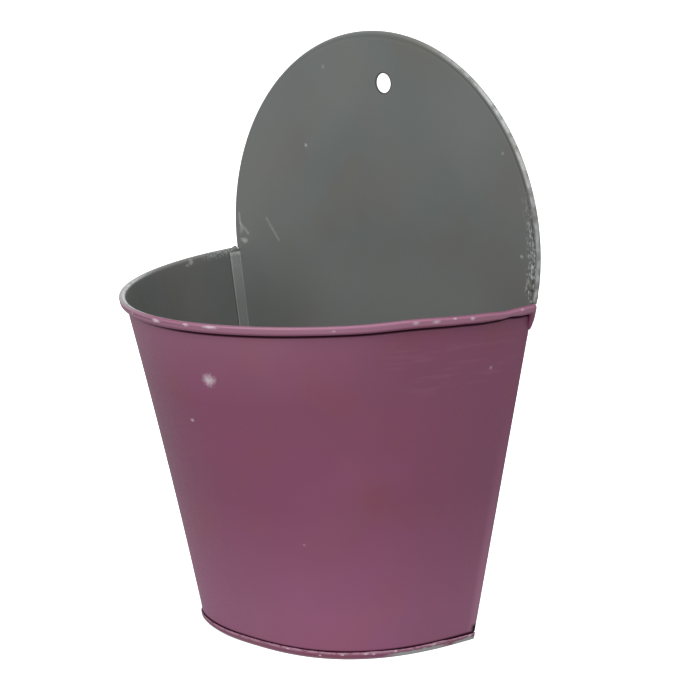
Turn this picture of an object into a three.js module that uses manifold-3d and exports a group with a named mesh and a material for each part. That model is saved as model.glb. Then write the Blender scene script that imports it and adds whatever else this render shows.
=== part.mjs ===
// Half-round sheet-metal wall planter: a folded pot on a domed back plate that hangs from one hole.
// Millimetres. +Z is up and +Y points to the wall. Every function below has the plate's front face on
// Y = 0, and the finished group is then moved to its own origin.

import * as THREE from 'three';
import { mergeVertices } from 'three/addons/utils/BufferGeometryUtils.js';
import Module from 'manifold-3d';

const wasm = await Module();
wasm.setup();

// ---- sheet and folds ----
const sheet = 0.6;               // thickness of every sheet
const clearance = 0.3;           // air between two layers
const bend = 0.3;                // inside radius of the plate's sharp bends

// ---- pot, measured to the middle of its sheet ----
const rimHeight = 170.1;         // centre of the rim's wire above the floor, at the wall
const rimDrop = 1.6;               // how much lower the rim lies at the front
const rimHalfWidth = 98.6;
const rimReach = 146.2;          // wall to front
const rimRoundness = 1.91;       // exponent of the outline; 2 is an ellipse
const footHalfWidth = 66.3;
const footReach = 84.4;
const footRoundness = 2.8;      // above 2 the sides run straighter

// ---- rolled rim ----
const wireDiameter = 1.6;
const rimTail = 1.8;             // the sheet runs straight down past the wire
const tuckRadius = 0.9;          // and turns in to the wall, to the middle of the sheet
const crushLength = 3;           // at each end the roll is crushed flat within this length
const crushRadius = 0.8;         // middle of the sheet at the crushed end's fold
const crushTail = 10;            // how far the crushed end runs down the corner
const wireSetback = 1;           // the wire stops this far short of the crushed end

// ---- corner seams ----
const hemWidth = 6;              // the pot's sheet folded in behind the plate
const flangeDepth = 6.5;         // the plate's edge folded forward, inside the pot
const flangeBelowRim = 0.4;

// ---- back plate ----
const domeAboveRim = 19.4;       // centre of the dome's circle above the rim's wire
const domeOverWall = 1.1;        // at rim height the dome would stand this far outside the wall
const edgeRoll = 3.2;            // diameter of the rolled edge
const edgeRollTurn = 250;
const edgeRollFlat = 12;         // pressed flat where it meets the wall, this far to each side
const edgeRollAboveRim = 4;      // the rolled edge starts this far above the rim
const shoulder = 3;              // the plate widens to its dome within this height
const hangHoleDiameter = 9.6;
const hangHoleBelowTop = 25;     // its centre, below the top of the dome

// ---- base ----
const seamHeight = 3.6;          // the base's edge folded up round the pot's foot

// ---- smoothness ----
const wallSteps = 72;
const rollSteps = 8;             // round a half turn of the rim
const tuckSteps = 4;
const edgeRollSteps = 8;
const edgeRollEndSteps = 3;      // past its flat
const cornerSteps = 4;
const wireSteps = 12;
const domeSteps = 64;

// ---- sizes that follow ----
const pitch = sheet + clearance;                 // middle of one layer to middle of the next
const plateMiddle = sheet / 2;
const hemMiddle = plateMiddle + pitch;
const foldRadius = bend + sheet / 2 + pitch;     // middle of the pot's sheet round the plate's bend
const wallStart = hemMiddle - foldRadius;        // where the pot's wall leaves the corner
const rollRadius = wireDiameter / 2 + clearance + sheet / 2;
const footLevel = sheet + clearance;             // lower edge of the pot and the plate, in the seam
const aboveSeam = seamHeight + clearance;
const domeHeight = rimHeight + domeAboveRim;
const domeRadius = Math.hypot(rimHalfWidth + domeOverWall, domeAboveRim);  // to the outside of its roll
const hangHoleHeight = domeHeight + domeRadius - hangHoleBelowTop;

const radians = THREE.MathUtils.degToRad;
const mix = THREE.MathUtils.lerp;

// ---- the pot's outline ----

// Point of a half superellipse at an angle from the front; the right-hand end is at 90 degrees.
function ring(angle, halfWidth, reach, roundness) {
  const across = Math.abs(Math.sin(angle) / halfWidth) ** roundness;
  const ahead = Math.abs(Math.cos(angle) / reach) ** roundness;
  const radius = (across + ahead) ** (-1 / roundness);
  return new THREE.Vector2(radius * Math.sin(angle), wallStart - radius * Math.cos(angle));
}

function wallPoint(angle, z) {
  const foot = ring(angle, footHalfWidth, footReach, footRoundness);
  const rim = ring(angle, rimHalfWidth, rimReach, rimRoundness);
  return foot.lerp(rim, z / rimHeight);
}

const halfWidthAt = (z) => mix(footHalfWidth, rimHalfWidth, z / rimHeight);

// The rim's drop at an angle, as a factor on every height of the pot's wall.
const dropAt = (angle) => 1 - (rimDrop / rimHeight) * Math.max(0, Math.cos(angle));

// ---- stations ----
// A station is a place along the sheet. Given a height it tells the sheet's middle and its outward
// normal in plan, so that every layer of a fold is the same line moved along the normal.

function wallStation(angle) {
  const delta = 1e-3;
  const at = (z) => {
    const along = wallPoint(angle + delta, z).sub(wallPoint(angle - delta, z)).normalize();
    return { point: wallPoint(angle, z), normal: new THREE.Vector2(along.y, -along.x) };
  };
  return { at, drop: dropAt(angle) };
}

// turn runs from 0 at the side wall to 90 degrees at the back; middle is the back layer's place in Y.
function cornerStation(side, turn, middle) {
  const at = (z) => {
    const normal = new THREE.Vector2(side * Math.cos(turn), Math.sin(turn));
    const centre = new THREE.Vector2(side * (halfWidthAt(z) - foldRadius), middle - foldRadius);
    return { point: centre.addScaledVector(normal, foldRadius), normal };
  };
  return { at, drop: 1 };
}

function backStation(side, inset, middle) {
  const at = (z) => ({
    point: new THREE.Vector2(side * (halfWidthAt(z) - inset), middle),
    normal: new THREE.Vector2(0, 1),
  });
  return { at, drop: 1 };
}

const spread = (count, from, to) => Array.from({ length: count + 1 }, (_, i) => mix(from, to, i / count));

// The angle at which the wall is this far from its end at the plate.
const angleBeforeEnd = (distance, halfWidth) => Math.PI / 2 - Math.atan(distance / halfWidth);

const corner = (side, middle, from = 0, to = Math.PI / 2) =>
  spread(cornerSteps, from, to).map((turn) => cornerStation(side, turn, middle));

// Puts stations that lead back to a corner into the order of a sweep.
const leftToRight = (side, stations) => (side < 0 ? [...stations].reverse() : stations);

// Stations between two angles, in steps that are the same for every piece on this wall.
function wallBetween(from, to) {
  const grid = spread(wallSteps, -Math.PI / 2, Math.PI / 2).filter((angle) => angle > from && angle < to);
  return [from, ...grid, to].map(wallStation);
}

// ---- solids ----

function solid(positions, triangles) {
  const geometry = new THREE.BufferGeometry();
  geometry.setAttribute('position', new THREE.Float32BufferAttribute(positions, 3));
  geometry.setIndex(triangles);
  return geometry;
}

// Joins copies of a section into a body. Copy after copy, the section's two axes and the way to
// the next copy make a left-handed set. A loop joins its last copy to its first, else both are capped.
function skin(section, rings, loop) {
  const count = section.length;
  const triangles = [];
  const quads = loop ? rings.length : rings.length - 1;
  for (let i = 0; i < quads; i++) {
    const a = i * count;
    const b = ((i + 1) % rings.length) * count;
    for (let j = 0; j < count; j++) {
      const k = (j + 1) % count;
      triangles.push(a + j, b + j, a + k, a + k, b + j, b + k);
    }
  }
  if (!loop) {
    const end = (rings.length - 1) * count;
    const flat = section.map(([x, y]) => new THREE.Vector2(x, y));
    for (const [a, b, c] of THREE.ShapeUtils.triangulateShape(flat, [])) {
      triangles.push(a, b, c, end + a, end + c, end + b);
    }
  }
  return solid(rings.flat().flatMap((point) => point.toArray()), triangles);
}

// Sweeps [station, section] pairs that run from left to right. A section is a list of [out, up]
// points, and all sections of one sweep have the same number of them.
function sweepEach(places, loop = false) {
  const rings = places.map(([station, section]) => section.map(([out, up]) => {
    const { point, normal } = station.at(up);
    point.addScaledVector(normal, out);
    return new THREE.Vector3(point.x, point.y, up * station.drop);
  }));
  return skin(places[0][1], rings, loop);
}

const sweep = (stations, section, loop) => sweepEach(stations.map((station) => [station, section]), loop);

function toManifold(geometry) {
  const plain = new THREE.BufferGeometry();
  plain.setAttribute('position', geometry.getAttribute('position'));
  plain.setIndex(geometry.index);
  const merged = mergeVertices(plain);
  return new wasm.Manifold(new wasm.Mesh({
    numProp: 3,
    vertProperties: merged.getAttribute('position').array,
    triVerts: new Uint32Array(merged.index.array),
  }));
}

function join(...geometries) {
  const { vertProperties, triVerts } = wasm.Manifold.union(geometries.map(toManifold)).getMesh();
  return solid(vertProperties, Array.from(triVerts));
}

function piece(name, geometry, color, roughness, metalness) {
  geometry.computeVertexNormals();
  const mesh = new THREE.Mesh(geometry, new THREE.MeshStandardMaterial({ color, roughness, metalness }));
  mesh.name = name;
  return mesh;
}

// ---- sections ----

const band = (inner, outer, low, high) => [[inner, low], [outer, low], [outer, high], [inner, high]];

const layer = (middle, low, high) => band(middle - sheet / 2, middle + sheet / 2, low, high);

// A point of a section on a circle, with the way that it faces.
function onCircle(out, up, radius, angle) {
  const facing = new THREE.Vector2(Math.cos(angle), Math.sin(angle));
  return { point: new THREE.Vector2(out, up).addScaledVector(facing, radius), facing };
}

const arc = (out, up, radius, from, to, steps) =>
  spread(steps, from, to).map((angle) => onCircle(out, up, radius, angle));

const offset = (line, distance) =>
  line.map(({ point, facing }) => point.clone().addScaledVector(facing, distance).toArray());

// The closed section of a sheet whose middle is this line.
const thicken = (line) => [...offset(line, -sheet / 2), ...offset(line, sheet / 2).reverse()];

// ---- pot ----

// The middle of the sheet where it is rolled outwards round the wire, its edge tucked in to the wall.
function roundRim() {
  const low = rimHeight - rimTail;
  return [
    ...arc(rollRadius, rimHeight, rollRadius, Math.PI, 0, rollSteps),
    ...arc(2 * rollRadius - tuckRadius, low, tuckRadius, 0, -Math.PI / 2, tuckSteps),
    { point: new THREE.Vector2(pitch, low - tuckRadius), facing: new THREE.Vector2(0, -1) },
  ];
}

// The same sheet crushed flat, its edge brought down to the wall.
function crushedRim() {
  const tail = spread(tuckSteps + 1, 0, 1).map((share) => ({
    point: new THREE.Vector2(mix(2 * crushRadius, pitch, share), rimHeight - share * crushTail),
    facing: new THREE.Vector2(1, 0),
  }));
  return [...arc(crushRadius, rimHeight, crushRadius, Math.PI, 0, rollSteps), ...tail];
}

// The sheet from its foot to the rim's edge. crush runs from 0, a round rim, to 1, a crushed one.
function shellSection(low, crush) {
  const crushed = crushedRim();
  const rim = roundRim().map(({ point, facing }, i) => ({
    point: point.lerp(crushed[i].point, crush),
    facing: facing.lerp(crushed[i].facing, crush).normalize(),
  }));
  return [[-sheet / 2, low], [sheet / 2, low], ...thicken(rim)];
}

function frontShell() {
  const limit = angleBeforeEnd(crushLength, rimHalfWidth);
  const wall = wallBetween(-limit, limit).map((station) => [station, shellSection(footLevel, 0)]);
  const fold = (side) => [
    [wallStation(side * angleBeforeEnd(crushLength / 2, rimHalfWidth)), shellSection(footLevel, 0.5)],
    ...[...corner(side, hemMiddle), backStation(side, hemWidth, hemMiddle)]
      .map((station) => [station, shellSection(aboveSeam, 1)]),
  ];
  return sweepEach([...fold(-1).reverse(), ...wall, ...fold(1)]);
}

function rimWire() {
  const limit = angleBeforeEnd(crushLength + wireSetback, rimHalfWidth);
  const section = offset(arc(rollRadius, rimHeight, wireDiameter / 2, 0, 2 * Math.PI, wireSteps), 0);
  return sweep(wallBetween(-limit, limit), section.slice(1));
}

// ---- back plate ----

// Outer half-width of the flat panel, where the bend to the corner flange begins.
const panelHalfWidthAt = (z) => halfWidthAt(z) - foldRadius;

const edgeRadius = (edgeRoll - sheet) / 2;             // to the middle of the sheet
const edgeCircle = domeRadius - edgeRoll / 2;          // centre line of the rolled edge
const domeAngleAt = (z) => Math.acos((z - domeHeight) / edgeCircle);

function platePanel() {
  const start = domeAngleAt(rimHeight + shoulder);
  const outline = new THREE.Shape();
  outline.moveTo(-panelHalfWidthAt(footLevel), footLevel);
  outline.lineTo(panelHalfWidthAt(footLevel), footLevel);
  outline.lineTo(panelHalfWidthAt(rimHeight), rimHeight);
  for (const angle of spread(domeSteps, start, -start)) {
    outline.lineTo(edgeCircle * Math.sin(angle), domeHeight + edgeCircle * Math.cos(angle));
  }
  outline.lineTo(-panelHalfWidthAt(rimHeight), rimHeight);
  const hole = new THREE.Path();
  hole.absarc(0, hangHoleHeight, hangHoleDiameter / 2, 0, 2 * Math.PI, true);
  outline.holes.push(hole);
  const panel = new THREE.ExtrudeGeometry(outline, { depth: sheet, bevelEnabled: false, curveSegments: 16 });
  return panel.rotateX(Math.PI / 2).translate(0, sheet, 0);
}

// The plate's edge rolled back towards the wall, all round the dome. A section here is [out, behind].
function plateRoll() {
  const front = -Math.PI / 2;
  const back = Math.PI / 2;
  const flat = radians(edgeRollFlat);
  const section = thicken([
    { point: new THREE.Vector2(-sheet, -edgeRadius), facing: new THREE.Vector2(0, -1) },
    ...arc(0, 0, edgeRadius, front, back - flat, edgeRollSteps),
    ...arc(0, 0, edgeRadius, back + flat, front + radians(edgeRollTurn), edgeRollEndSteps),
  ]).reverse();
  const limit = domeAngleAt(rimHeight + edgeRollAboveRim);
  const rings = spread(domeSteps, -limit, limit).map((angle) => section.map(([out, behind]) =>
    new THREE.Vector3(
      (edgeCircle + out) * Math.sin(angle),
      plateMiddle + edgeRadius + behind,
      domeHeight + (edgeCircle + out) * Math.cos(angle),
    )));
  return skin(section, rings, false);
}

function plateFlange(side) {
  const stations = [
    wallStation(side * angleBeforeEnd(flangeDepth, rimHalfWidth)),
    wallStation(side * angleBeforeEnd(flangeDepth / 2, rimHalfWidth)),
    ...corner(side, hemMiddle),
    backStation(side, foldRadius + sheet, hemMiddle),
  ];
  return sweep(leftToRight(side, stations), layer(-pitch, aboveSeam, rimHeight - flangeBelowRim));
}

const backPlate = () => join(platePanel(), plateRoll(), plateFlange(-1), plateFlange(1));

// ---- base ----

function basePan() {
  const limit = Math.PI / 2 - Math.PI / wallSteps;
  const loop = [
    ...corner(-1, plateMiddle).reverse(),
    ...wallBetween(-limit, limit),
    ...corner(1, plateMiddle),
  ].map(({ at }) => ({ at, drop: 1 }));
  const out = pitch + sheet / 2;
  const seam = [
    [-out, 0], [out, 0], [out, seamHeight], [out - sheet, seamHeight],
    [out - sheet, sheet], [sheet - out, sheet], [sheet - out, seamHeight], [-out, seamHeight],
  ];
  const edge = loop.map(({ at }) => {
    const { point, normal } = at(seamHeight - sheet / 2);
    return point.addScaledVector(normal, -pitch);
  });
  const floor = new THREE.ExtrudeGeometry(new THREE.Shape(edge), { depth: sheet, bevelEnabled: false });
  return join(sweep(loop, seam, true), floor.translate(0, 0, seamHeight - sheet));
}

// ---- assembly ----

const planter = new THREE.Group();
planter.add(
  piece('front_shell', frontShell(), 0x85516c, 0.45, 0.1),
  piece('rim_wire', rimWire(), 0xa3a5a6, 0.4, 0.9),
  piece('back_plate', backPlate(), 0x646664, 0.5, 0.2),
  piece('base_pan', basePan(), 0x7b5a68, 0.5, 0.2),
);

// The origin lies on the floor, under the middle of the overall box.
const overall = new THREE.Box3().setFromObject(planter);
planter.position.y = -overall.getCenter(new THREE.Vector3()).y;

export default planter;
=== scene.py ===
from math import acos, cos, degrees, exp, hypot, pi, radians, sin

import bmesh
import bpy
from mathutils import Matrix, Vector


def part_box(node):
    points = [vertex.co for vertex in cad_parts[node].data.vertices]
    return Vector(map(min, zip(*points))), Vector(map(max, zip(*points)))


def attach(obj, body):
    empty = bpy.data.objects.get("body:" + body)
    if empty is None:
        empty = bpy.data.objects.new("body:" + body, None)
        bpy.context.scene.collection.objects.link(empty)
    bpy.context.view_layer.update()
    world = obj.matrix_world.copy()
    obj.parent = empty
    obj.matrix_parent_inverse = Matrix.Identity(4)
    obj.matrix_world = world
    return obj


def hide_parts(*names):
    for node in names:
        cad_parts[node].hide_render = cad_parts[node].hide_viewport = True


# A half-round wall planter of painted tinplate, on white studio paper.
# Lengths are millimetres until a point is placed in a mesh. Turns round the pot are degrees
# from the middle of its front, and angles inside functions are radians.
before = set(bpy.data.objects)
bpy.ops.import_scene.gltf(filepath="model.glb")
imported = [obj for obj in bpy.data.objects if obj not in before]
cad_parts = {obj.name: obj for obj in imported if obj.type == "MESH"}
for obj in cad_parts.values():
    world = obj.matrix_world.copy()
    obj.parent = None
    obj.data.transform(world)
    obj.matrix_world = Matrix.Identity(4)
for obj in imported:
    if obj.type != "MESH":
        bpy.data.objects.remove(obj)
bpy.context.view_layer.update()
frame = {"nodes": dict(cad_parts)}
mm = 0.001
print("frame loaded, nodes:", ", ".join(frame["nodes"]))

# The tin, and how far its folds stand off one another. Vertices nearer than weld are one.
tin = {
    "sheet": 0.6, "pitch": 0.9, "fold": 1.5, "hemBehind": 1.2, "cornerSteps": 8,
    "weld": 0.002, "sharpFrom": 50,
}
half = tin["sheet"] / 2
away = 99.0  # carried by a vertex for a place that is nowhere near

# The pot's outline: nearly half an ellipse at the rim, squarer at the foot
pot = {
    "rimHeight": 170.1, "rimDrop": 1.6, "rimHalfWidth": 98.6, "rimReach": 146.2, "rimRoundness": 1.91,
    "footHalfWidth": 66.3, "footReach": 84.4, "footRoundness": 2.8, "footLevel": 0.9,
    "seamHeight": 3.6,
    # the foot's seam stands off the floor on the left, and its lip rises by this share of that
    "footLift": 2.8, "liftTurn": -30.0, "liftWidth": 16.0, "lipLift": 0.7,
}
wallStart = tin["hemBehind"] - tin["fold"]
aboveSeam = pot["seamHeight"] + tin["pitch"] - tin["sheet"]

# The rolled edge of the dome is the rearmost part, with its back pressed a little flat
edgeRoll = {"size": 3.2, "flatBack": 0.045, "inside": 0.002}
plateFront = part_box("back_plate")[1].y / mm - edgeRoll["size"] + edgeRoll["flatBack"]


def mix(a, b, share):
    return a + (b - a) * share


def ease(low, high, value):
    share = min(1.0, max(0.0, (value - low) / (high - low)))
    return share * share * (3 - 2 * share)


def swell(value, middle, width):
    return exp(-((value - middle) / width) ** 2)


def footLift(turn):
    return pot["footLift"] * swell(turn, pot["liftTurn"], pot["liftWidth"])


def spread(count, start, end):
    return [mix(start, end, i / count) for i in range(count + 1)]


def onCircle(out, up, radius, start, end, steps):
    line = []
    for angle in spread(steps, radians(start), radians(end)):
        facing = Vector((cos(angle), sin(angle)))
        line.append((Vector((out, up)) + facing * radius, facing))
    return line


def outline(angle, halfWidth, reach, roundness):
    across = abs(sin(angle) / halfWidth) ** roundness
    ahead = abs(cos(angle) / reach) ** roundness
    radius = (across + ahead) ** (-1 / roundness)
    return Vector((radius * sin(angle), wallStart - radius * cos(angle)))


def wallPoint(angle, z):
    foot = outline(angle, pot["footHalfWidth"], pot["footReach"], pot["footRoundness"])
    rim = outline(angle, pot["rimHalfWidth"], pot["rimReach"], pot["rimRoundness"])
    return foot + (rim - foot) * (z / pot["rimHeight"])


def halfWidthAt(z):
    return mix(pot["footHalfWidth"], pot["rimHalfWidth"], z / pot["rimHeight"])


# A station is a place along the pot's sheet: a function that gives the sheet's middle line and its
# outward direction at a height, and how much the rim's drop lowers it there
def onWall(angle):
    step = 0.001

    def at(z):
        along = wallPoint(angle + step, z) - wallPoint(angle - step, z)
        return wallPoint(angle, z), Vector((along.y, -along.x)).normalized()

    return at, 1 - pot["rimDrop"] / pot["rimHeight"] * max(0.0, cos(angle))


def onCorner(side, turned, middle):
    def at(z):
        normal = Vector((side * cos(turned), sin(turned)))
        centre = Vector((side * (halfWidthAt(z) - tin["fold"]), middle - tin["fold"]))
        return centre + normal * tin["fold"], normal

    return at, 1.0


def onBack(side, inset, middle):
    def at(z):
        return Vector((side * (halfWidthAt(z) - inset), middle)), Vector((0.0, 1.0))

    return at, 1.0


def placed(station, out, up):
    at, drop = station
    point, normal = at(up)
    point = point + normal * out
    return Vector((point.x, plateFront + point.y, up * drop)) * mm


# Angle at which the wall is this far from its end at the plate
def angleBeforeEnd(distance):
    return acos(distance / hypot(distance, pot["rimHalfWidth"]))


# A flat grid whose every vertex is then moved to its place, column by column
def sheetOf(columns, rows, place, attributes):
    bm = bmesh.new()
    bmesh.ops.create_grid(bm, x_segments=columns, y_segments=rows, size=0.5)
    layers = {name: bm.verts.layers.float.new(name) for name in attributes}
    cells = {}
    for vertex in bm.verts:
        column, row = round((vertex.co.x + 0.5) * columns), round((vertex.co.y + 0.5) * rows)
        cells[vertex] = column, row
        vertex.co, values = place(column, row)
        for name, value in values.items():
            vertex[layers[name]] = value
    return bm, cells


def finishPiece(name, bm, node, material, solidify=False):
    bmesh.ops.remove_doubles(bm, verts=bm.verts[:], dist=tin["weld"] * mm)
    bmesh.ops.recalc_face_normals(bm, faces=bm.faces[:])
    for face in bm.faces:
        face.smooth = True
    mesh = bpy.data.meshes.new(name)
    bm.to_mesh(mesh)
    bm.free()
    mesh.materials.append(material)
    mesh.set_sharp_from_angle(angle=radians(tin["sharpFrom"]))
    piece = bpy.data.objects.new(name, mesh)
    bpy.context.scene.collection.objects.link(piece)
    if solidify:
        thick = piece.modifiers.new("Solidify", "SOLIDIFY")
        thick.thickness = tin["sheet"] * mm
        thick.offset = 0.0
    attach(piece, "root")
    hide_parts(node)
    print(name, "made,", len(mesh.polygons), "faces")


def linear(hexColour):
    parts = [int(hexColour[i:i + 2], 16) / 255 for i in (0, 2, 4)]
    return [((part + 0.055) / 1.055) ** 2.4 if part > 0.04045 else part / 12.92 for part in parts] + [1.0]


# Adds a node. What is a socket in its settings is linked, the rest is set.
def addNode(tree, kind, settings=None, output=0):
    made = tree.nodes.new("ShaderNode" + kind)
    settings = settings or {}
    for name, value in settings.items():
        if isinstance(name, str) and name not in made.inputs:
            setattr(made, name, value)
    for name, value in settings.items():
        if isinstance(name, int) or name in made.inputs:
            if isinstance(value, bpy.types.NodeSocket):
                tree.links.new(value, made.inputs[name])
            else:
                made.inputs[name].default_value = value
    return made.outputs[output] if made.outputs else made


# A new material, its place on the object, and the values that its piece carries
def startMaterial(name, carried=()):
    material = bpy.data.materials.new(name)
    material.use_nodes = True
    tree = material.node_tree
    tree.nodes.clear()
    where = addNode(tree, "TexCoord", {}, "Object")
    values = [addNode(tree, "Attribute", {"attribute_name": key}, "Fac") for key in carried]
    return material, tree, where, values


# Soft patches of a size in mm, from 0 to 1 as the pattern goes from low to high
def cloud(tree, where, size, low, high, detail=2.0):
    grain = addNode(tree, "TexNoise", {"Vector": where, "Scale": 1 / (size * mm), "Detail": detail})
    return addNode(tree, "MapRange", {"Value": grain, "From Min": low, "From Max": high})


# 1 between full and fullEnd, fading to 0 at start and at end
def band(tree, value, start, full, fullEnd, end):
    rise = addNode(tree, "MapRange", {"Value": value, "From Min": start, "From Max": full})
    fall = addNode(tree, "MapRange", {"Value": value, "From Min": end, "From Max": fullEnd})
    return addNode(tree, "Math", {"operation": "MULTIPLY", 0: rise, 1: fall})


# A rubbed spot round a point of the object, or along a line that starts there, ragged where the
# coat broke off in grains. It fades from solid to gone as the distance, in reaches, grows.
raggedness = {"amount": 1.1, "solid": 0.8, "gone": 1.5, "detail": 4.0}


def rub(tree, where, point, reach, grain, line=None):
    offset = addNode(tree, "VectorMath", {"operation": "SUBTRACT", 0: where, 1: point})
    if line:
        gone = addNode(tree, "VectorMath", {
            "operation": "DOT_PRODUCT", 0: offset, 1: line / line.length_squared}, "Value")
        nearest = addNode(tree, "VectorMath", {
            "operation": "SCALE", 0: line, "Scale": addNode(tree, "Clamp", {"Value": gone})})
        offset = addNode(tree, "VectorMath", {"operation": "SUBTRACT", 0: offset, 1: nearest})
    scaled = addNode(tree, "VectorMath", {"operation": "DIVIDE", 0: offset, 1: Vector(reach) * mm})
    far = addNode(tree, "VectorMath", {"operation": "LENGTH", 0: scaled}, "Value")
    broken = addNode(tree, "TexNoise", {
        "Vector": where, "Scale": 1 / (grain * mm), "Detail": raggedness["detail"]})
    ragged = addNode(tree, "Math", {"operation": "MULTIPLY_ADD", 0: broken, 1: raggedness["amount"], 2: far})
    return addNode(tree, "MapRange", {
        "Value": ragged, "From Min": raggedness["gone"], "From Max": raggedness["solid"]})


# Lays coats one over another. Each is a tone, its strength and the masks that it shows through.
def layCoats(tree, colour, coats):
    for tone, strength, masks in coats:
        share = strength
        for mask in masks:
            share = addNode(tree, "Math", {"operation": "MULTIPLY", 0: share, 1: mask})
        tone = linear(tone) if isinstance(tone, str) else tone
        colour = addNode(tree, "Mix", {"data_type": "RGBA", 0: share, 6: colour, 7: tone}, 2)
    return colour


plumTones = {"mid": "7a3f5d", "cool": "77405a", "warm": "7a404e", "pale": "87536c"}
greyTones = {"mid": "5f605e", "cool": "5b605f", "warm": "5f5c57", "pale": "6c6e6c"}
insideTones = {"mid": "646462", "cool": "5f6362", "warm": "63605a", "pale": "6f706e"}
# tones of wear, of painted light and of painted shade
wearAndPaintedLightTones = {
    "footPlum": "a3638a", "palePlum": "b98ca2", "dullPlum": "6f4c5e", "crease": "5a2f45", "dusty": "d8ccd3",
    "paleGrey": "6c6e6c", "grey": "8d908d", "thinGrey": "989a99", "brightGrey": "a8aaa8", "dark": "303231",
    "tin": "9a9c9b", "rubbed": "c4c3c4", "paintedShade": "2a0818",
}

# Satin spray paint. Each tone's clouds have a size in mm, the span of the pattern that they show in
# and a strength. The surface has grain, dents in the tin and a faint orange peel, as sizes in mm.
# Real grain is under half a millimetre and is drawn as coarse as it needs to show.
spray = {
    "clouds": {"cool": (55, 0.4, 0.62, 1.0), "warm": (31, 0.5, 0.7, 0.6), "pale": (78, 0.5, 0.75, 0.45)},
    "grain": (1.3, 0.3, 0.7), "smoothest": 0.42, "roughest": 0.54, "ior": 1.5,
    "dentSize": 45.0, "dentDepth": 0.4, "dentStrength": 0.6,
    "peelSize": 1.6, "peelDepth": 0.1, "peelStrength": 0.12,
    "shine": 0.5, "paintedShadeShine": 0.03, "patternDetail": 3.0,
}


# Spray paint is one even colour, a little clouded where the coat is thicker or thinner
def sprayCoat(tree, where, tones):
    coats = [(tones[name], strength, [cloud(tree, where, size, low, high)])
             for name, (size, low, high, strength) in spray["clouds"].items()]
    return layCoats(tree, linear(tones["mid"]), coats)


# Its satin gives the eye soft wide highlights that waver a little with the dents, and almost none where shade
# is painted
def satinSurface(tree, where, colour, darkening=None):
    grain = cloud(tree, where, *spray["grain"], spray["patternDetail"])
    rough = addNode(tree, "MapRange", {
        "Value": grain, "To Min": spray["smoothest"], "To Max": spray["roughest"]})
    dents = addNode(tree, "TexNoise", {"Vector": where, "Scale": 1 / (spray["dentSize"] * mm), "Detail": 1.0})
    tinBump = addNode(tree, "Bump", {
        "Strength": spray["dentStrength"], "Distance": spray["dentDepth"] * mm, "Height": dents})
    peel = addNode(tree, "TexNoise", {"Vector": where, "Scale": 1 / (spray["peelSize"] * mm), "Detail": 2.0})
    bump = addNode(tree, "Bump", {
        "Strength": spray["peelStrength"], "Distance": spray["peelDepth"] * mm, "Height": peel,
        "Normal": tinBump})
    shine = spray["shine"]
    if darkening:
        shine = addNode(tree, "MapRange", {"Value": darkening, "To Min": shine, "To Max": spray["paintedShadeShine"]})
    shader = addNode(tree, "BsdfPrincipled", {
        "Base Color": colour, "Roughness": rough, "Metallic": 0.0, "IOR": spray["ior"], "Normal": bump,
        "Specular IOR Level": shine})
    addNode(tree, "OutputMaterial", {"Surface": shader})


# Coats of wear, painted light and painted shade from a piece's list. Each shows within limits of
# what the piece carries, as [gone, full, full, gone] for band, and through the masks that it names.
def wearAndPaintedLightCoats(tree, carried, masks, rows):
    coats = []
    for tone, strength, limits, names in rows:
        shown = [band(tree, carried[name], *limits[name]) for name in limits]
        shown += [masks[name] for name in names]
        coats.append((wearAndPaintedLightTones[tone], strength, shown))
    return coats


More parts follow.
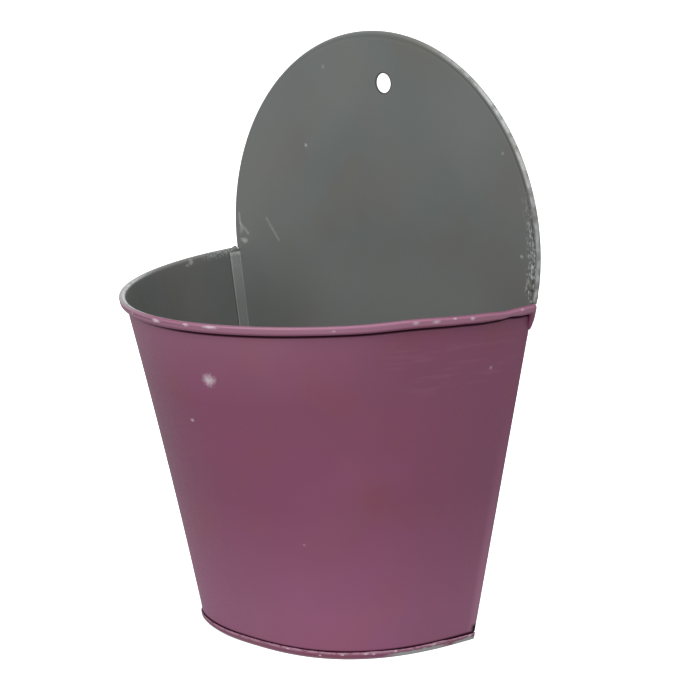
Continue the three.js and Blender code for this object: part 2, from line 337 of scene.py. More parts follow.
# The rim is rolled outwards round a wire with its edge tucked in, and crushed flat at its two ends.
# It was closed by hand: [turn, width, how much higher the rim stands there], [turn, width, how much
# lower its lip hangs there] and a crease on the left.
shell = {
    "wire": 1.6, "air": 0.27, "tail": 1.8, "tuck": 0.9, "rollSteps": 16, "tailSteps": 8, "tuckSteps": 8,
    "crushLength": 3.0, "crushSteps": 5, "crushRadius": 1.25, "crushTail": 11.0, "crushCurve": 3,
    "hemRadius": 0.7, "hemInsets": (3.0, 4.5, 6.0), "cornerShare": 0.5,
    # the turn goes on a little round the corner and is this behind the plate, past all worn places
    "cornerTurn": 6.0, "backTurn": 100.0,
    "leftRise": 0.6, "rightRise": 0.1, "hemRise": -0.6, "crestPress": 0.18,
    "rimWaves": [(52, 10.5, 1.1), (79, 5, -0.65)],
    "lipWaves": [(-52, 12, 0.1), (-20, 9, -0.12), (8, 10, 0.1), (31, 7, -0.15), (52, 6, 0.12),
                 (65, 3, -0.2), (75.5, 2.2, -0.35), (80.5, 3.2, -1.15)],
    "creaseFrom": -66, "creaseTo": 8, "creaseFade": 14, "creaseBelow": 0.5, "creaseDepth": 0.28,
    "creaseWidth": 0.35,
    # rows of the wall, the first ones at these rises over the lip's underside and gathered there
    "wallRows": 44, "lipRows": (1.5, 0.6, 0.0, -0.6, -1.2, -2.0), "wallBelowLip": 3.4, "frontColumns": 320,
    # the plum coat ends on the rim's crest, and further out towards the left end
    "coatEndTurns": (-28.0, 8.0), "coatEndOut": (1.6, -0.6), "coatEndSoft": (-0.1, 0.15),
    "coatEndGrain": 2.2, "coatEndRagged": 0.5,
    # parts of the sheet by the distance outwards from the crest. 999 is an open end.
    "sides": {
        "outside": (4.0, 5.0, 998, 999), "bead": (0.2, 1.0, 3.6, 4.6), "inside": (-999, -998, -0.6, 0.0)},
    # patterns, each with its size and the span of it that shows
    "patterns": {
        "grains": (3.0, 0.25, 0.5), "hammered": (1.3, 0.47, 0.62), "brushed": (2.6, 0.5, 0.75)},
    "brushStretch": (0.12, 0.12, 1.0),
    "coats": [
        # painted light from below: paler towards the foot
        ("footPlum", 0.36, {"height": (-999, -998, 20, 80)}, ["outside"]),
        # painted shade dulls the crest's lit top on the right; where the rim turns to the left the crest is
        # pale with painted highlight and wear, and at its end it is worn to bare tin
        ("dullPlum", 0.6, {"crest": (-1.6, -0.9, 0.8, 1.7), "turn": (-6, 12, 95, 99)}, []),
        ("rubbed", 0.8, {"crest": (-1.9, -1.3, -0.4, 0.2), "turn": (-52, -30, -4, 26)}, ["grains"]),
        ("tin", 0.7, {"crest": (-0.6, 0.1, 1.6, 2.4), "turn": (-84, -60, -22, 0)}, []),
        ("tin", 0.65, {"turn": (-92, -85, -26, -8)}, ["bead"]),
        # painted light: the bead's outer face below its crest is painted paler
        ("palePlum", 0.34, {"crest": (1.0, 1.8, 3.8, 4.8)}, []),
        # painted shade in the crease that the left half of the bead has along it
        ("crease", 0.6, {"crest": (2.6, 2.95, 3.15, 3.5), "turn": (-64, -50, -6, 8)}, []),
        # the far end of the rim was hammered shut
        ("brightGrey", 0.5, {"turn": (-91, -87, -77, -73), "crest": (-5, -3, -0.6, 0.2)}, ["hammered"]),
        # brush marks and dust under the rim
        ("palePlum", 0.08, {"turn": (40, 48, 80, 89), "height": (130, 137, 156, 162)},
         ["brushed", "outside"]),
        ("palePlum", 0.12, {"turn": (-60, -30, 20, 50), "height": (130, 160, 998, 999)}, ["outside"]),
        # painted highlight along the folds at both ends, most near the foot
        ("palePlum", 0.3, {"fold": (85, 88.5, 998, 999), "height": (-999, -998, 30, 120)}, ["outside"]),
    ],
    # painted shade in the crease under the lip, along the top of the foot's seam and in its open end
    "paintedShadeLines": [
        {"below": (-1.2, -0.6, 1.25, 1.9), "turn": (-16, 4, 95, 99)},
        {"height": (0.0, 1.0, pot["seamHeight"] + 0.5, pot["seamHeight"] + 1.2)},
        {"height": (1.0, 3.0, 7.0, 8.5), "turn": (87.2, 89.2, 95, 99)},
    ],
    "paintedShadeStrength": 0.97,
    # [turn, height, reach across and up, strength], and the size of the grains that they broke off in
    "rubs": [(7.5, 142.4, 4.4, 4.4, 0.5), (7.1, 142.0, 2.0, 1.8, 0.4), (0.45, 119.5, 1.5, 1.2, 0.45),
             (77.0, 143.0, 1.3, 1.2, 0.25), (24.0, 60.0, 0.9, 0.9, 0.2)],
    "beadChips": [(-0.85, 169.9, 3.4, 1.1, 0.95), (5.8, 170.2, 1.9, 1.0, 0.6), (10.5, 170.2, 4.6, 0.9, 0.7),
                  (-9.0, 169.6, 1.5, 0.8, 0.5), (33.0, 169.4, 1.4, 0.8, 0.35), (51.2, 171.0, 2.4, 1.1, 0.4),
                  (56.6, 170.6, 3.0, 1.1, 0.45), (61.8, 171.2, 1.4, 0.7, 0.4), (67.2, 170.2, 1.8, 1.0, 0.6),
                  (84.5, 170.3, 1.6, 0.8, 0.4)],
    "insideRubs": [(-68.6, 169.6, 2.6, 2.0, 0.75), (-66.6, 168.6, 2.2, 1.2, 0.5)],
    "rubGrain": 1.2, "chipGrain": 1.0,
}
rollRadius = shell["wire"] / 2 + shell["air"] + half


# Spray paint on tinplate, plum outside and grey inside, gives the eye an even satin skin that is
# broken where it is handled: there it is pale, chipped or bare tin. Shade is painted under the
# lip, above the foot's seam, in the bead's crease and over the crest's lit top, and light is painted
# on the lower wall, the bead's face, the folds and the inner crest
def shellPaint():
    material, tree, where, (crest, turn, height, below) = startMaterial(
        "Plum and grey spray paint on tinplate", ("crest", "turn", "height", "below"))
    fold = addNode(tree, "Math", {"operation": "ABSOLUTE", 0: turn})
    carried = {"crest": crest, "turn": turn, "height": height, "below": below, "fold": fold}
    plum = sprayCoat(tree, where, plumTones)
    inside = sprayCoat(tree, where, insideTones)
    firstTurn, lastTurn = shell["coatEndTurns"]
    firstOut, lastOut = shell["coatEndOut"]
    coatEnd = addNode(tree, "MapRange", {
        "Value": turn, "From Min": firstTurn, "From Max": lastTurn, "To Min": firstOut, "To Max": lastOut})
    ragged = addNode(tree, "MapRange", {
        "Value": cloud(tree, where, shell["coatEndGrain"], 0.0, 1.0, spray["patternDetail"]),
        "To Min": -shell["coatEndRagged"], "To Max": shell["coatEndRagged"]})
    coatEnd = addNode(tree, "Math", {"operation": "ADD", 0: coatEnd, 1: ragged})
    past = addNode(tree, "Math", {"operation": "SUBTRACT", 0: crest, 1: coatEnd})
    softFrom, softTo = shell["coatEndSoft"]
    isPlum = addNode(tree, "MapRange", {"Value": past, "From Min": softFrom, "From Max": softTo})

    masks = {name: band(tree, crest, *limits) for name, limits in shell["sides"].items()}
    brushed = addNode(tree, "Mapping", {"Vector": where, "Scale": shell["brushStretch"]})
    for name, (size, low, high) in shell["patterns"].items():
        across = brushed if name == "brushed" else where
        masks[name] = cloud(tree, across, size, low, high, spray["patternDetail"])
    coats = [(plum, 1.0, [isPlum])] + wearAndPaintedLightCoats(tree, carried, masks, shell["coats"])

    # painted shade: near-black lines, with almost no shine, under the lip, above the foot's seam and in its
    # open end
    darkening = 0.0
    for limits in shell["paintedShadeLines"]:
        share = shell["paintedShadeStrength"]
        for mask in [band(tree, carried[name], *limits[name]) for name in limits] + [masks["outside"]]:
            share = addNode(tree, "Math", {"operation": "MULTIPLY", 0: share, 1: mask})
        darkening = addNode(tree, "Math", {"operation": "MAXIMUM", 0: darkening, 1: share})
    coats.append((wearAndPaintedLightTones["paintedShade"], 1.0, [darkening]))

    for spots, out, tone, grain, side in (
            ("rubs", half, "dusty", shell["rubGrain"], "outside"),
            ("beadChips", 2 * rollRadius + half, "dusty", shell["chipGrain"], "bead"),
            ("insideRubs", -half, "brightGrey", shell["chipGrain"], "inside")):
        for angle, up, across, tall, strength in shell[spots]:
            spot = placed(onWall(radians(angle)), out, up)
            paled = rub(tree, where, spot, (across, across, tall), grain)
            coats.append((wearAndPaintedLightTones[tone], strength, [paled, masks[side]]))
    satinSurface(tree, where, layCoats(tree, inside, coats), darkening)
    return material


# The rim's section at a turn, from its inner side over the crest to its tucked edge, as points and
# the directions that they face, and the level of its lip's underside
def rimLine(turn, crush, pinch):
    lip = sum(drop * swell(turn, middle, width) for middle, width, drop in shell["lipWaves"])
    wave = sum(rise * swell(turn, middle, width) for middle, width, rise in shell["rimWaves"])
    crease = shell["creaseDepth"] * ease(shell["creaseFrom"], shell["creaseFrom"] + shell["creaseFade"], turn)
    crease *= 1 - ease(shell["creaseTo"] - shell["creaseFade"], shell["creaseTo"], turn)
    top = pot["rimHeight"] + wave
    low = top - shell["tail"] - lip
    outwards, down = Vector((1.0, 0.0)), Vector((0.0, -1.0))
    rolled = [(Vector((point.x, mix(point.y, top, shell["crestPress"]))), facing)
              for point, facing in onCircle(rollRadius, top, rollRadius, 180, 0, shell["rollSteps"])]
    for up in spread(shell["tailSteps"], top, low)[1:-1]:
        pressed = crease * swell(up, top - shell["creaseBelow"], shell["creaseWidth"])
        rolled.append((Vector((2 * rollRadius - pressed, up)), outwards))
    rolled += onCircle(2 * rollRadius - shell["tuck"], low, shell["tuck"], 0, -90, shell["tuckSteps"])
    rolled.append((Vector((tin["pitch"], low - shell["tuck"])), down))
    crest = top + mix(shell["leftRise"] if turn < 0 else shell["rightRise"], shell["hemRise"],
                      ease(0.0, shell["cornerShare"], pinch))
    radius = mix(shell["crushRadius"], shell["hemRadius"], pinch)
    crushed = onCircle(radius, crest, radius, 180, 0, shell["rollSteps"])
    for share in spread(len(rolled) - len(crushed), 0.0, 1.0)[1:]:
        out = mix(2 * radius, tin["sheet"], share ** shell["crushCurve"])
        crushed.append((Vector((out, crest - share * shell["crushTail"])), outwards))
    line = [(a.lerp(b, crush), facingA.lerp(facingB, crush).normalized())
            for (a, facingA), (b, facingB) in zip(rolled, crushed)]
    return line, low - shell["tuck"] - half


# The whole way round the sheet, from the foot up inside, over the roll to its edge and back down
# outside, as [out, up, distance outwards from the crest, distance under the lip]
def shellSection(turn, low, crush, pinch):
    line, lipFoot = rimLine(turn, crush, pinch)
    top = line[0][0].y
    outer = [point + facing * half for point, facing in line]
    inner = [point - facing * half for point, facing in line]
    lengths = [0.0]
    for a, b in zip(outer, outer[1:]):
        lengths.append(lengths[-1] + (b - a).length)
    toCrest = lengths[shell["rollSteps"] // 2]
    section = [(-half, up, up - top - toCrest, away) for up in spread(shell["wallRows"], low, top)[:-1]]
    section += [(p.x, p.y, length - toCrest, away) for p, length in zip(outer, lengths)]
    section += [(p.x, p.y, lengths[-1], away) for p in reversed(inner)]
    # the wall's rows gather under the lip, where the shade is painted
    fall = [lipFoot + rise for rise in shell["lipRows"]]
    fall += spread(shell["wallRows"], lipFoot - shell["wallBelowLip"], low)
    section += [(half, up, lengths[-1] + top - up, lipFoot - up) for up in fall]
    return section + section[:1]


def makeShell():
    end = angleBeforeEnd(shell["crushLength"])

    # each is its station, its turn, its lowest level, how crushed the rim is there and how pinched
    def foldAround(side):
        fold = []
        for angle in spread(shell["crushSteps"], end, pi / 2)[1:-1]:
            crush = ease(end, pi / 2, angle) ** 2
            fold.append((onWall(side * angle), side * degrees(angle), pot["footLevel"], crush, 0.0))
        # behind the plate the sheet stands above the seam
        for turned in spread(tin["cornerSteps"], 0.0, pi / 2):
            turn = side * (90 + shell["cornerTurn"] * turned)
            fold.append((onCorner(side, turned, tin["hemBehind"]), turn, aboveSeam, 1.0, sin(turned)))
        for inset in shell["hemInsets"]:
            turn = side * shell["backTurn"]
            fold.append((onBack(side, inset, tin["hemBehind"]), turn, aboveSeam, 1.0, 1.0))
        return fold

    stations = list(reversed(foldAround(-1)))
    for angle in spread(shell["frontColumns"], -end, end):
        turn = degrees(angle)
        stations.append((onWall(angle), turn, pot["footLevel"] + footLift(turn), 0.0, 0.0))
    stations += foldAround(1)
    sections = [shellSection(turn, low, crush, pinch) for station, turn, low, crush, pinch in stations]

    def place(column, row):
        station, turn = stations[column][:2]
        out, up, crest, below = sections[column][row]
        level = up - pot["lipLift"] * footLift(turn)
        return placed(station, out, up), {"crest": crest, "turn": turn, "height": level, "below": below}

    bm = sheetOf(len(stations) - 1, len(sections[0]) - 1, place, ("crest", "turn", "height", "below"))[0]
    bmesh.ops.remove_doubles(bm, verts=bm.verts[:], dist=tin["weld"] * mm)
    bmesh.ops.holes_fill(bm, edges=[edge for edge in bm.edges if edge.is_boundary], sides=0)
    finishPiece("potShell", bm, "front_shell", shellPaint())


# The plate is a flat sheet with a domed top whose edge is rolled back, and its lower sides are
# folded forward inside the pot
plate = {
    "domeAboveRim": 19.4, "domeRadius": 101.56, "edgeTurn": 250, "edgeAboveRim": 1.3,
    "shoulder": 1.1, "hole": 9.6, "holeBelowTop": 25.0, "flangeDepth": 6.5, "flangeBelowRim": 0.4,
    "foldRows": 18, "bendShare": 1 / 3, "groove": 0.1, "grooveInset": 1.5, "grooveWidth": 0.8,
    "edgeSlims": 0.1, "edgeSlimsOver": 4.0, "nickAboveRim": 7.4, "nickDepth": 0.14, "nickWidth": 0.8,
    # columns along half of the foot, up one side and over half of the dome
    "footColumns": 30, "sideColumns": 80, "domeColumns": 130,
    # rows from the hole outwards: the first at these shares of the way, more that spread out along
    # a curve, and the last at these distances inside the outline
    "holeRows": [0.0, 0.002, 0.006], "rows": 24, "rowCurve": 1.3,
    "edgeRows": [5.0, 3.8, 2.9, 2.3, 1.8, 1.4, 1.0, 0.6, 0.0],
    # the flange is paler round its bend, behind the bend and at its free edge, from wear and a painted
    # highlight along these ridges, as shares of the way
    "wearAndHighlightBend": (0.3, 0.9), "wearAndHighlightBehind": (0.0, 0.25), "wearAndHighlightEdge": (0.75, 0.95),
    # patterns, each with its size and the span of it that shows. The fine ones are drawn upright.
    "fine": (1.0, 0.49, 0.64), "otherFine": (1.2, 0.5, 0.62), "patches": (5.0, 0.3, 0.6),
    "upright": (1.0, 1.0, 0.5), "otherPlace": (0.3, 0.1, 0.2),
    # limits of x, of height and of the distance past the outline, in mm. 999 is an open end.
    "atRight": (20, 70, 200, 300),
    "scraped": {"height": (168, 172, 186, 228), "past": (-8.0, -3.5, -0.2, 0.6)},
    "coats": [
        # the flange inside the pot is thinly coated and paler, most along its bend and its free edge, where
        # wear and a painted highlight lie
        ("thinGrey", 0.9, {}, ["strip"]),
        ("grey", 0.55, {}, ["paled"]),
        ("brightGrey", 0.7, {"height": (155, 165, 200, 300)}, ["strip", "fine"]),
        # painted shade in the pot's left corner and faintly on the plate's upper right; painted light on the
        # dome's left and deep inside the pot
        ("dark", 0.34, {"x": (-200, -150, -84, -45), "height": (0, 20, 144, 165)}, []),
        ("paleGrey", 0.4, {"x": (-999, -998, -90, -30)}, []),
        ("paleGrey", 0.5, {"x": (-60, -20, 60, 90), "height": (0, 20, 165, 190)}, []),
        ("dark", 0.1, {"x": (30, 80, 998, 999), "height": (155, 180, 300, 400)}, []),
        # painted shade in the groove before the rolled edge, and the edge itself painted light, as wear and
        # painted highlight
        ("dark", 0.45, {"past": (-1.9, -1.3, -0.6, 0.1)}, ["atRight"]),
        ("brightGrey", 0.7, {"past": (0.2, 0.9, 3.0, 4.4)}, ["atRight", "patches"]),
        # scraped where the pot's end meets the dome
        ("rubbed", 0.7, {}, ["scraped", "atRight", "fine"]),
        ("dark", 0.4, {}, ["scraped", "atRight", "otherFine"]),
        # the cut edge of the hole is dark
        ("dark", 0.95, {"hole": (-1.0, -0.8, 0.35, 0.85)}, []),
    ],
    # [x, height, reach across and up, strength]: a scuff at the left shoulder and specks
    "rubs": [(-93.9, 175.8, 3.2, 1.8, 0.65), (-96.5, 181.0, 1.6, 3.0, 0.3), (-51.7, 229.6, 1.3, 1.2, 0.7),
             (-40.7, 270.0, 1.6, 1.6, 0.25), (91.4, 193.0, 1.3, 1.2, 0.5), (77.7, 240.8, 1.1, 1.1, 0.3)],
    # [x and height at both ends, reach, strength]: scratches
    "scratches": [(-98.2, 189.0, -97.0, 184.0, 1.3, 0.35), (-97.0, 184.0, -91.5, 180.0, 1.3, 0.3),
                  (-78.3, 189.0, -69.6, 179.4, 1.1, 0.25)],
    "rubGrain": 1.3,
    # the nick of the rolled edge is painted darker
    "nickDark": {"x": 98.4, "reach": (2.4, 4.0, 0.9), "grain": 1.0, "strength": 0.9},
}


# Spray paint on flat tinplate gives the eye a dull even grey, with painted shade where the pot shades it
# and painted light on the left and deep inside, with fine scratches, and scraped to bright metal only along
# its bends and its rolled edge
def platePaint():
    material, tree, where, (past, strip, paled, hole) = startMaterial(
        "Grey spray paint on tinplate", ("past", "strip", "paled", "hole"))
    inMillimetres = addNode(tree, "VectorMath", {"operation": "SCALE", 0: where, "Scale": 1 / mm})
    place = addNode(tree, "SeparateXYZ", {"Vector": inMillimetres}).node
    carried = {"x": place.outputs["X"], "height": place.outputs["Z"], "past": past, "hole": hole}
    upright = addNode(tree, "Mapping", {"Vector": where, "Scale": plate["upright"]})
    otherPlace = addNode(tree, "Mapping", {"Vector": upright, "Location": plate["otherPlace"]})
    scraped = [band(tree, carried[name], *limits) for name, limits in plate["scraped"].items()]
    masks = {
        "strip": strip, "paled": paled,
        "fine": cloud(tree, upright, *plate["fine"], spray["patternDetail"]),
        "otherFine": cloud(tree, otherPlace, *plate["otherFine"], spray["patternDetail"]),
        "patches": cloud(tree, where, *plate["patches"], spray["patternDetail"]),
        "atRight": band(tree, carried["x"], *plate["atRight"]),
        "scraped": addNode(tree, "Math", {"operation": "MULTIPLY", 0: scraped[0], 1: scraped[1]}),
    }
    coats = wearAndPaintedLightCoats(tree, carried, masks, plate["coats"])
    for across, up, wide, tall, strength in plate["rubs"]:
        spot = Vector((across, plateFront, up)) * mm
        bare = rub(tree, where, spot, (wide, half, tall), plate["rubGrain"])
        coats.append((wearAndPaintedLightTones["brightGrey"], strength, [bare]))
    for x0, z0, x1, z1, wide, strength in plate["scratches"]:
        start = Vector((x0, plateFront, z0)) * mm
        line = Vector((x1 - x0, 0.0, z1 - z0)) * mm
        bare = rub(tree, where, start, (wide, half, wide), plate["rubGrain"], line)
        coats.append((wearAndPaintedLightTones["brightGrey"], strength, [bare]))
    darkening = plate["nickDark"]
    nick = Vector((darkening["x"], plateFront, pot["rimHeight"] + plate["nickAboveRim"])) * mm
    inNick = rub(tree, where, nick, darkening["reach"], darkening["grain"])
    coats.append((wearAndPaintedLightTones["dark"], darkening["strength"], [inNick]))
    satinSurface(tree, where, layCoats(tree, sprayCoat(tree, where, greyTones), coats))
    return material


def makePlate():
    domeHeight = pot["rimHeight"] + plate["domeAboveRim"]
    circle = plate["domeRadius"] - edgeRoll["size"] / 2
    holeMiddle = Vector((0.0, domeHeight + plate["domeRadius"] - plate["holeBelowTop"]))
    roll = (edgeRoll["size"] - tin["sheet"]) / 2
    rearmost = edgeRoll["size"] - edgeRoll["flatBack"] - edgeRoll["inside"] - half
    foldRows = plate["foldRows"]

    def panelHalfWidth(z):
        return halfWidthAt(z) - tin["fold"]

    # the outline from the middle of the foot up one side, over the dome and down the other
    start = acos((pot["rimHeight"] + plate["shoulder"] - domeHeight) / circle)
    rolled = acos((pot["rimHeight"] + plate["edgeAboveRim"] - domeHeight) / circle)
    flangeTop = pot["rimHeight"] - plate["flangeBelowRim"]
    footEnd = panelHalfWidth(pot["footLevel"])
    right = [(x, pot["footLevel"], "plain") for x in spread(plate["footColumns"], 0.0, footEnd)]
    right += [(panelHalfWidth(z), z, "flange") for z in spread(plate["sideColumns"], aboveSeam, flangeTop)]
    right += [(panelHalfWidth(pot["rimHeight"]), pot["rimHeight"], "plain")]
    for angle in [start] + spread(plate["domeColumns"], rolled, 0.0):
        kind = "roll" if angle <= rolled else "plain"
        right.append((circle * sin(angle), domeHeight + circle * cos(angle), kind))
    border = right + [(-x, z, kind) for x, z, kind in reversed(right[:-1])]

    insets = plate["edgeRows"]
    shares = plate["holeRows"] + [mix(plate["holeRows"][-1], 1.0, share ** plate["rowCurve"])
                                  for share in spread(plate["rows"], 0.0, 1.0)[1:]]
    flatRows = len(shares) + len(insets) - 1

    def onFlat(edge, row, kind):
        way = (edge - holeMiddle).normalized()
        near = holeMiddle + way * (plate["hole"] / 2)
        span = (edge - near).length
        if row < len(shares):
            inset = mix(span, insets[0], shares[row])
        else:
            inset = insets[row - len(shares) + 1]
        dip = 0.0
        if kind == "roll":
            dip = plate["groove"] * swell(inset, plate["grooveInset"], plate["grooveWidth"])
        point = edge - way * inset
        values = {"past": -inset if kind == "roll" else -away, "hole": span - inset}
        return Vector((point.x, half + dip, point.y)), values

    def onRoll(edge, share):
        turned = radians(mix(-90, plate["edgeTurn"] - 90, share))
        radial = Vector((edge.x, edge.y - domeHeight)).normalized()
        aboveEnd = edge.y - pot["rimHeight"] - plate["edgeAboveRim"]
        slim = 1 - plate["edgeSlims"] * (1 - ease(0.0, plate["edgeSlimsOver"], aboveEnd))
        if edge.x > 0:
            nick = pot["rimHeight"] + plate["nickAboveRim"]
            slim -= plate["nickDepth"] * swell(edge.y, nick, plate["nickWidth"])
        size = roll * slim
        point = Vector((0.0, domeHeight)) + radial * (circle + size * cos(turned))
        y = min(rearmost, half + size + size * sin(turned))
        return Vector((point.x, y, point.y)), {"past": (turned + pi / 2) * size, "hole": away}

    def onFlange(edge, share):
        side = 1 if edge.x > 0 else -1
        bend = plate["bendShare"]
        if share <= bend:
            station = onCorner(side, pi / 2 * (1 - share / bend), tin["hemBehind"])
            paled = ease(*plate["wearAndHighlightBend"], share / bend)
        else:
            far = (share - bend) / (1 - bend)
            station = onWall(side * angleBeforeEnd(plate["flangeDepth"] * far))
            paled = max(ease(*plate["wearAndHighlightEdge"], far), 1 - ease(*plate["wearAndHighlightBehind"], far))
        spot = placed(station, -tin["pitch"], edge.y) / mm
        values = {"strip": ease(0.0, bend, share), "paled": paled, "past": -away, "hole": away}
        return Vector((spot.x, spot.y - plateFront, edge.y)), values

    def place(column, row):
        x, z, kind = border[column]
        edge = Vector((x, z))
        share = (row - flatRows + 1) / foldRows
        if row < flatRows or kind == "plain":
            point, values = onFlat(edge, min(row, flatRows - 1), kind)
        else:
            point, values = onRoll(edge, share) if kind == "roll" else onFlange(edge, share)
        return Vector((point.x, plateFront + point.y, point.z)) * mm, values

    bm, cells = sheetOf(len(border) - 1, flatRows + foldRows - 1, place, ("past", "strip", "paled", "hole"))
    spare = []
    for face in bm.faces:
        spots = [cells[vertex] for vertex in face.verts]
        kinds = {border[column][2] for column, row in spots}
        if max(row for column, row in spots) >= flatRows and kinds != {"roll"} and kinds != {"flange"}:
            spare.append(face)
    bmesh.ops.delete(bm, geom=spare, context="FACES")
    finishPiece("backPlate", bm, "back_plate", platePaint(), True)


# The floor of the pot. Its edge is folded down, under and up again round the foot, as the seam.
base = {
    "bend": 0.45, "bendSteps": 5, "floorBendSteps": 4, "lowest": 0.305, "lipSteps": 8, "columns": 280,
    "floorMiddle": 38.0, "floorRows": [0.05, 0.15, 0.3, 0.5, 0.75, 1.0],
    # [turn, width, how much higher the seam's lip stands there]
    "lipWaves": [(-38, 18, -0.9), (-12, 9, -0.12), (15, 5, 0.12), (30, 5, -0.12), (43, 2.0, 0.25),
                 (56, 5, -0.2), (69.8, 3.0, 0.3), (84, 14, -0.45)],
    # the plum coat is on the lip's side of the fold alone. 999 is an open end.
    "outside": (-999, -998, 0.1, 0.3), "grains": (2.4, 0.3, 0.5), "ragged": 0.8,
    "coats": [
        # the lip's top edge is painted paler in grains, as wear and painted highlight
        ("palePlum", 0.6, {"height": (2.3, 3.0, 3.8, 4.4)}, ["outside", "grains"]),
        # it stands on its lowest edge, which is worn grey all round
        ("tin", 0.45, {"height": (-2.0, -1.0, 0.5, 1.2)}, ["outside"]),
        # the coat is worn off to bare tin along the bottom on the right
        ("tin", 0.9, {"turn": (46, 52, 70, 75), "ragged": (-2.0, -1.0, 2.5, 3.0)}, ["outside"]),
        ("tin", 0.9, {"turn": (76, 79, 95, 96), "ragged": (-2.0, -1.0, 2.3, 2.8)}, ["outside"]),
    ],
    # [turn, height, reach across], and what all chips have in common
    "chips": [(15.5, 3.1, 1.3), (26.3, 1.7, 0.9), (33.3, 2.6, 1.2), (40.6, 2.9, 1.6), (43.1, 2.6, 1.2),
              (50.6, 2.9, 1.4), (66.6, 3.0, 2.6), (-30.0, 3.0, 1.0), (87.0, 2.6, 1.6)],
    "chipTall": 0.6, "chipGrain": 0.9, "chipStrength": 0.8,
}


# Spray paint on a seam that the pot stands on gives the eye a chipped plum edge over worn grey tin
def seamPaint():
    material, tree, where, (inside, turn, height) = startMaterial(
        "Plum spray paint worn off a folded seam", ("inside", "turn", "height"))
    outside = band(tree, inside, *base["outside"])
    grains = cloud(tree, where, *base["grains"], spray["patternDetail"])
    ragged = addNode(tree, "Math", {"operation": "MULTIPLY_ADD", 0: grains, 1: base["ragged"], 2: height})
    carried = {"turn": turn, "height": height, "ragged": ragged}
    masks = {"outside": outside, "grains": grains}
    coats = [(sprayCoat(tree, where, plumTones), 1.0, [outside])]
    coats += wearAndPaintedLightCoats(tree, carried, masks, base["coats"])
    for angle, up, across in base["chips"]:
        spot = placed(onWall(radians(angle)), tin["pitch"] + half, up)
        chip = rub(tree, where, spot, (across, across, base["chipTall"]), base["chipGrain"])
        coats.append((wearAndPaintedLightTones["dusty"], base["chipStrength"], [chip, outside]))
    satinSurface(tree, where, layCoats(tree, sprayCoat(tree, where, insideTones), coats))
    return material


def makeBase():
    pitch, top, bend, lowest = tin["pitch"], pot["seamHeight"], base["bend"], base["lowest"]
    front = spread(base["columns"], -pi / 2, pi / 2)[1:-1]
    stations = [(onCorner(-1, turned, half), -90.0) for turned in spread(tin["cornerSteps"], pi / 2, 0.0)]
    stations += [(onWall(angle), degrees(angle)) for angle in front]
    stations += [(onCorner(1, turned, half), 90.0) for turned in spread(tin["cornerSteps"], 0.0, pi / 2)]
    # across the channel: the lip, down, under, up inside and in to the floor, as [out, up, inside]
    section = [(pitch, up, 0.0) for up in spread(base["lipSteps"], top, lowest + bend)]
    steps, floorSteps = base["bendSteps"], base["floorBendSteps"]
    section += [(p.x, p.y, 0.0) for p, facing in
                onCircle(pitch - bend, lowest + bend, bend, 0, -90, steps)][1:]
    section += [(p.x, p.y, 0.5) for p, facing in
                onCircle(bend - pitch, lowest + bend, bend, -90, -180, steps)]
    section += [(-pitch, up, 1.0) for up in spread(steps, lowest + bend, top - half - bend)][1:]
    section += [(p.x, p.y, 1.0) for p, facing in
                onCircle(-pitch - bend, top - half - bend, bend, 0, 90, floorSteps)][1:]
    floorMiddle = Vector((0.0, plateFront - base["floorMiddle"])) * mm

    def place(column, row):
        (at, drop), turn = stations[column % len(stations)]
        out, up, inside = section[min(row, len(section) - 1)]
        if row <= base["lipSteps"]:
            lip = sum(rise * swell(turn, middle, width) for middle, width, rise in base["lipWaves"])
            up += lip * (1 - row / base["lipSteps"])
        # where the foot is lifted, the floor inside stays level and the lip rises less than the edge
        level = up
        kept = 1 - pot["lipLift"] if inside == 0.0 else 1.0
        up += footLift(turn) * min(1.0, max(0.0, 1 - kept * (up - lowest) / top))
        point = placed((at, 1.0), out, up)
        if row >= len(section):
            share = base["floorRows"][row - len(section)]
            point.x = mix(point.x, floorMiddle.x, share)
            point.y = mix(point.y, floorMiddle.y, share)
        return point, {"inside": inside, "turn": turn, "height": level}

    rows = len(section) + len(base["floorRows"]) - 1
    bm = sheetOf(len(stations), rows, place, ("inside", "turn", "height"))[0]
    finishPiece("basePan", bm, "base_pan", seamPaint(), True)


# The wire in the roll is the frame's own
wire = {
    "tone": "8d8f90", "brightTone": "b1b3b4", "roughness": 0.38,
    "lines": (1.5, 0.3, 0.7), "stretch": (1.0, 1.0, 8.0),
}


# Drawn steel keeps fine lines along the wire and stays bright inside the roll. Real drawing lines
# are hair-fine and are drawn as coarse as they need to show.
def drawnSteel():
    material, tree, where = startMaterial("Drawn steel wire")[:3]
    along = addNode(tree, "Mapping", {"Vector": where, "Scale": wire["stretch"]})
    lines = cloud(tree, along, *wire["lines"])
    colour = layCoats(tree, linear(wire["tone"]), [(wire["brightTone"], 1.0, [lines])])
    shader = addNode(tree, "BsdfPrincipled", {
        "Base Color": colour, "Roughness": wire["roughness"], "Metallic": 1.0})
    addNode(tree, "OutputMaterial", {"Surface": shader})
    return material


def finishWire():
    steel = drawnSteel()
    slots = frame["nodes"]["rim_wire"].material_slots
    for slot in slots:
        slot.material = steel
    print("rim wire finished, slots:", len(slots))


makeShell()
makePlate()
makeBase()
finishWire()

# The photo's viewing angle, from the pot's right and a little above, with a long lens. Angles are
# degrees.
camera = {
    "azimuth": 43.264, "elevation": 11.879, "roll": 0.977, "distance": 1824.0,
    "aimHeight": 83.67, "sideways": -13.10, "raised": 48.85,
    "lens": 189.2, "sensor": 36.0,
    "clipEnd": 50.0,  # metres
}


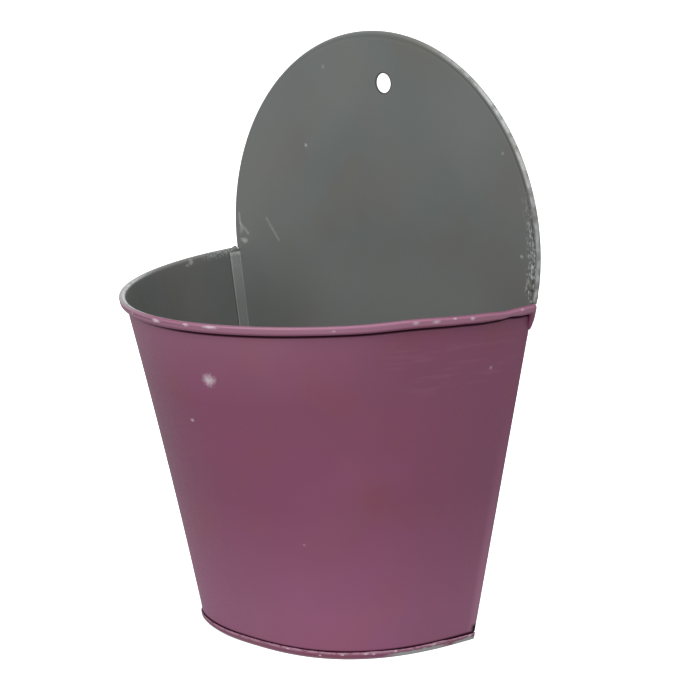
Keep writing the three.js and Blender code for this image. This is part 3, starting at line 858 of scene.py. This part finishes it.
def makeCamera():
    azimuth, elevation, roll = (radians(camera[key]) for key in ("azimuth", "elevation", "roll"))
    back = Vector((sin(azimuth) * cos(elevation), -cos(azimuth) * cos(elevation), sin(elevation)))
    level = Vector((0, 0, 1)).cross(back).normalized()
    upright = back.cross(level)
    right = level * cos(roll) + upright * sin(roll)
    up = upright * cos(roll) - level * sin(roll)
    aim = Vector((0.0, plateFront, camera["aimHeight"]))
    place = aim + back * camera["distance"] + right * camera["sideways"] + up * camera["raised"]
    data = bpy.data.cameras.new("Camera")
    data.lens = camera["lens"]
    data.sensor_width = camera["sensor"]
    data.sensor_fit = "AUTO"
    data.clip_end = camera["clipEnd"]
    seen = bpy.data.objects.new("Camera", data)
    turned = Matrix((right, up, back)).transposed().to_4x4()
    seen.matrix_world = Matrix.Translation(place * mm) @ turned
    bpy.context.scene.collection.objects.link(seen)
    bpy.context.scene.camera = seen
    print("camera placed")


# Even light from all sides, a wide softbox in front, a little to the right, and one overhead.
# Places and sizes of the softboxes are in metres, their power in watts.
studio = {
    "world": 0.54, "white": "ffffff",
    "floorSize": 14.0, "floor": "f4f4f4", "floorRoughness": 0.9, "floorGlow": 0.8,
    "floorDrop": 0.1 * mm,  # so that the paper and the foot don't share a plane
    "softboxes": {
        "Front softbox": {"place": (0.7, -1.9, 1.4), "size": (1.5, 1.5), "power": 39.0},
        "Top softbox": {"place": (0.5, -0.1, 2.2), "size": (1.6, 1.6), "power": 34.0},
    },
    "aim": (0.0, 0.0, 0.15),
}


def makeStudio():
    bm = bmesh.new()
    bmesh.ops.create_grid(bm, x_segments=1, y_segments=1, size=studio["floorSize"] / 2)
    mesh = bpy.data.meshes.new("floor")
    bm.to_mesh(mesh)
    bm.free()
    # uncoated white paper, evenly lit from below as on a light table, so that it stays white
    material, tree = startMaterial("White paper")[:2]
    shader = addNode(tree, "BsdfPrincipled", {
        "Base Color": linear(studio["floor"]), "Roughness": studio["floorRoughness"],
        "Emission Color": linear(studio["white"]), "Emission Strength": studio["floorGlow"]})
    addNode(tree, "OutputMaterial", {"Surface": shader})
    mesh.materials.append(material)
    floor = bpy.data.objects.new("floor", mesh)
    floor.location.z = -studio["floorDrop"]
    # the paper shows white, and the even light round the pot comes from the world alone
    floor.visible_diffuse = False
    floor.visible_glossy = False
    bpy.context.scene.collection.objects.link(floor)
    world = bpy.data.worlds.new("Studio")
    bpy.context.scene.world = world
    world.use_nodes = True
    light = world.node_tree.nodes["Background"].inputs
    light["Color"].default_value = linear(studio["white"])
    light["Strength"].default_value = studio["world"]
    for name, box in studio["softboxes"].items():
        data = bpy.data.lights.new(name, "AREA")
        data.shape = "RECTANGLE"
        data.size, data.size_y = box["size"]
        data.energy = box["power"]
        lamp = bpy.data.objects.new(name, data)
        lamp.location = box["place"]
        backwards = Vector(box["place"]) - Vector(studio["aim"])
        lamp.rotation_euler = backwards.to_track_quat("Z", "Y").to_euler()
        bpy.context.scene.collection.objects.link(lamp)
    bpy.context.scene.view_settings.view_transform = "Standard"
    print("studio lit")


makeCamera()
makeStudio()
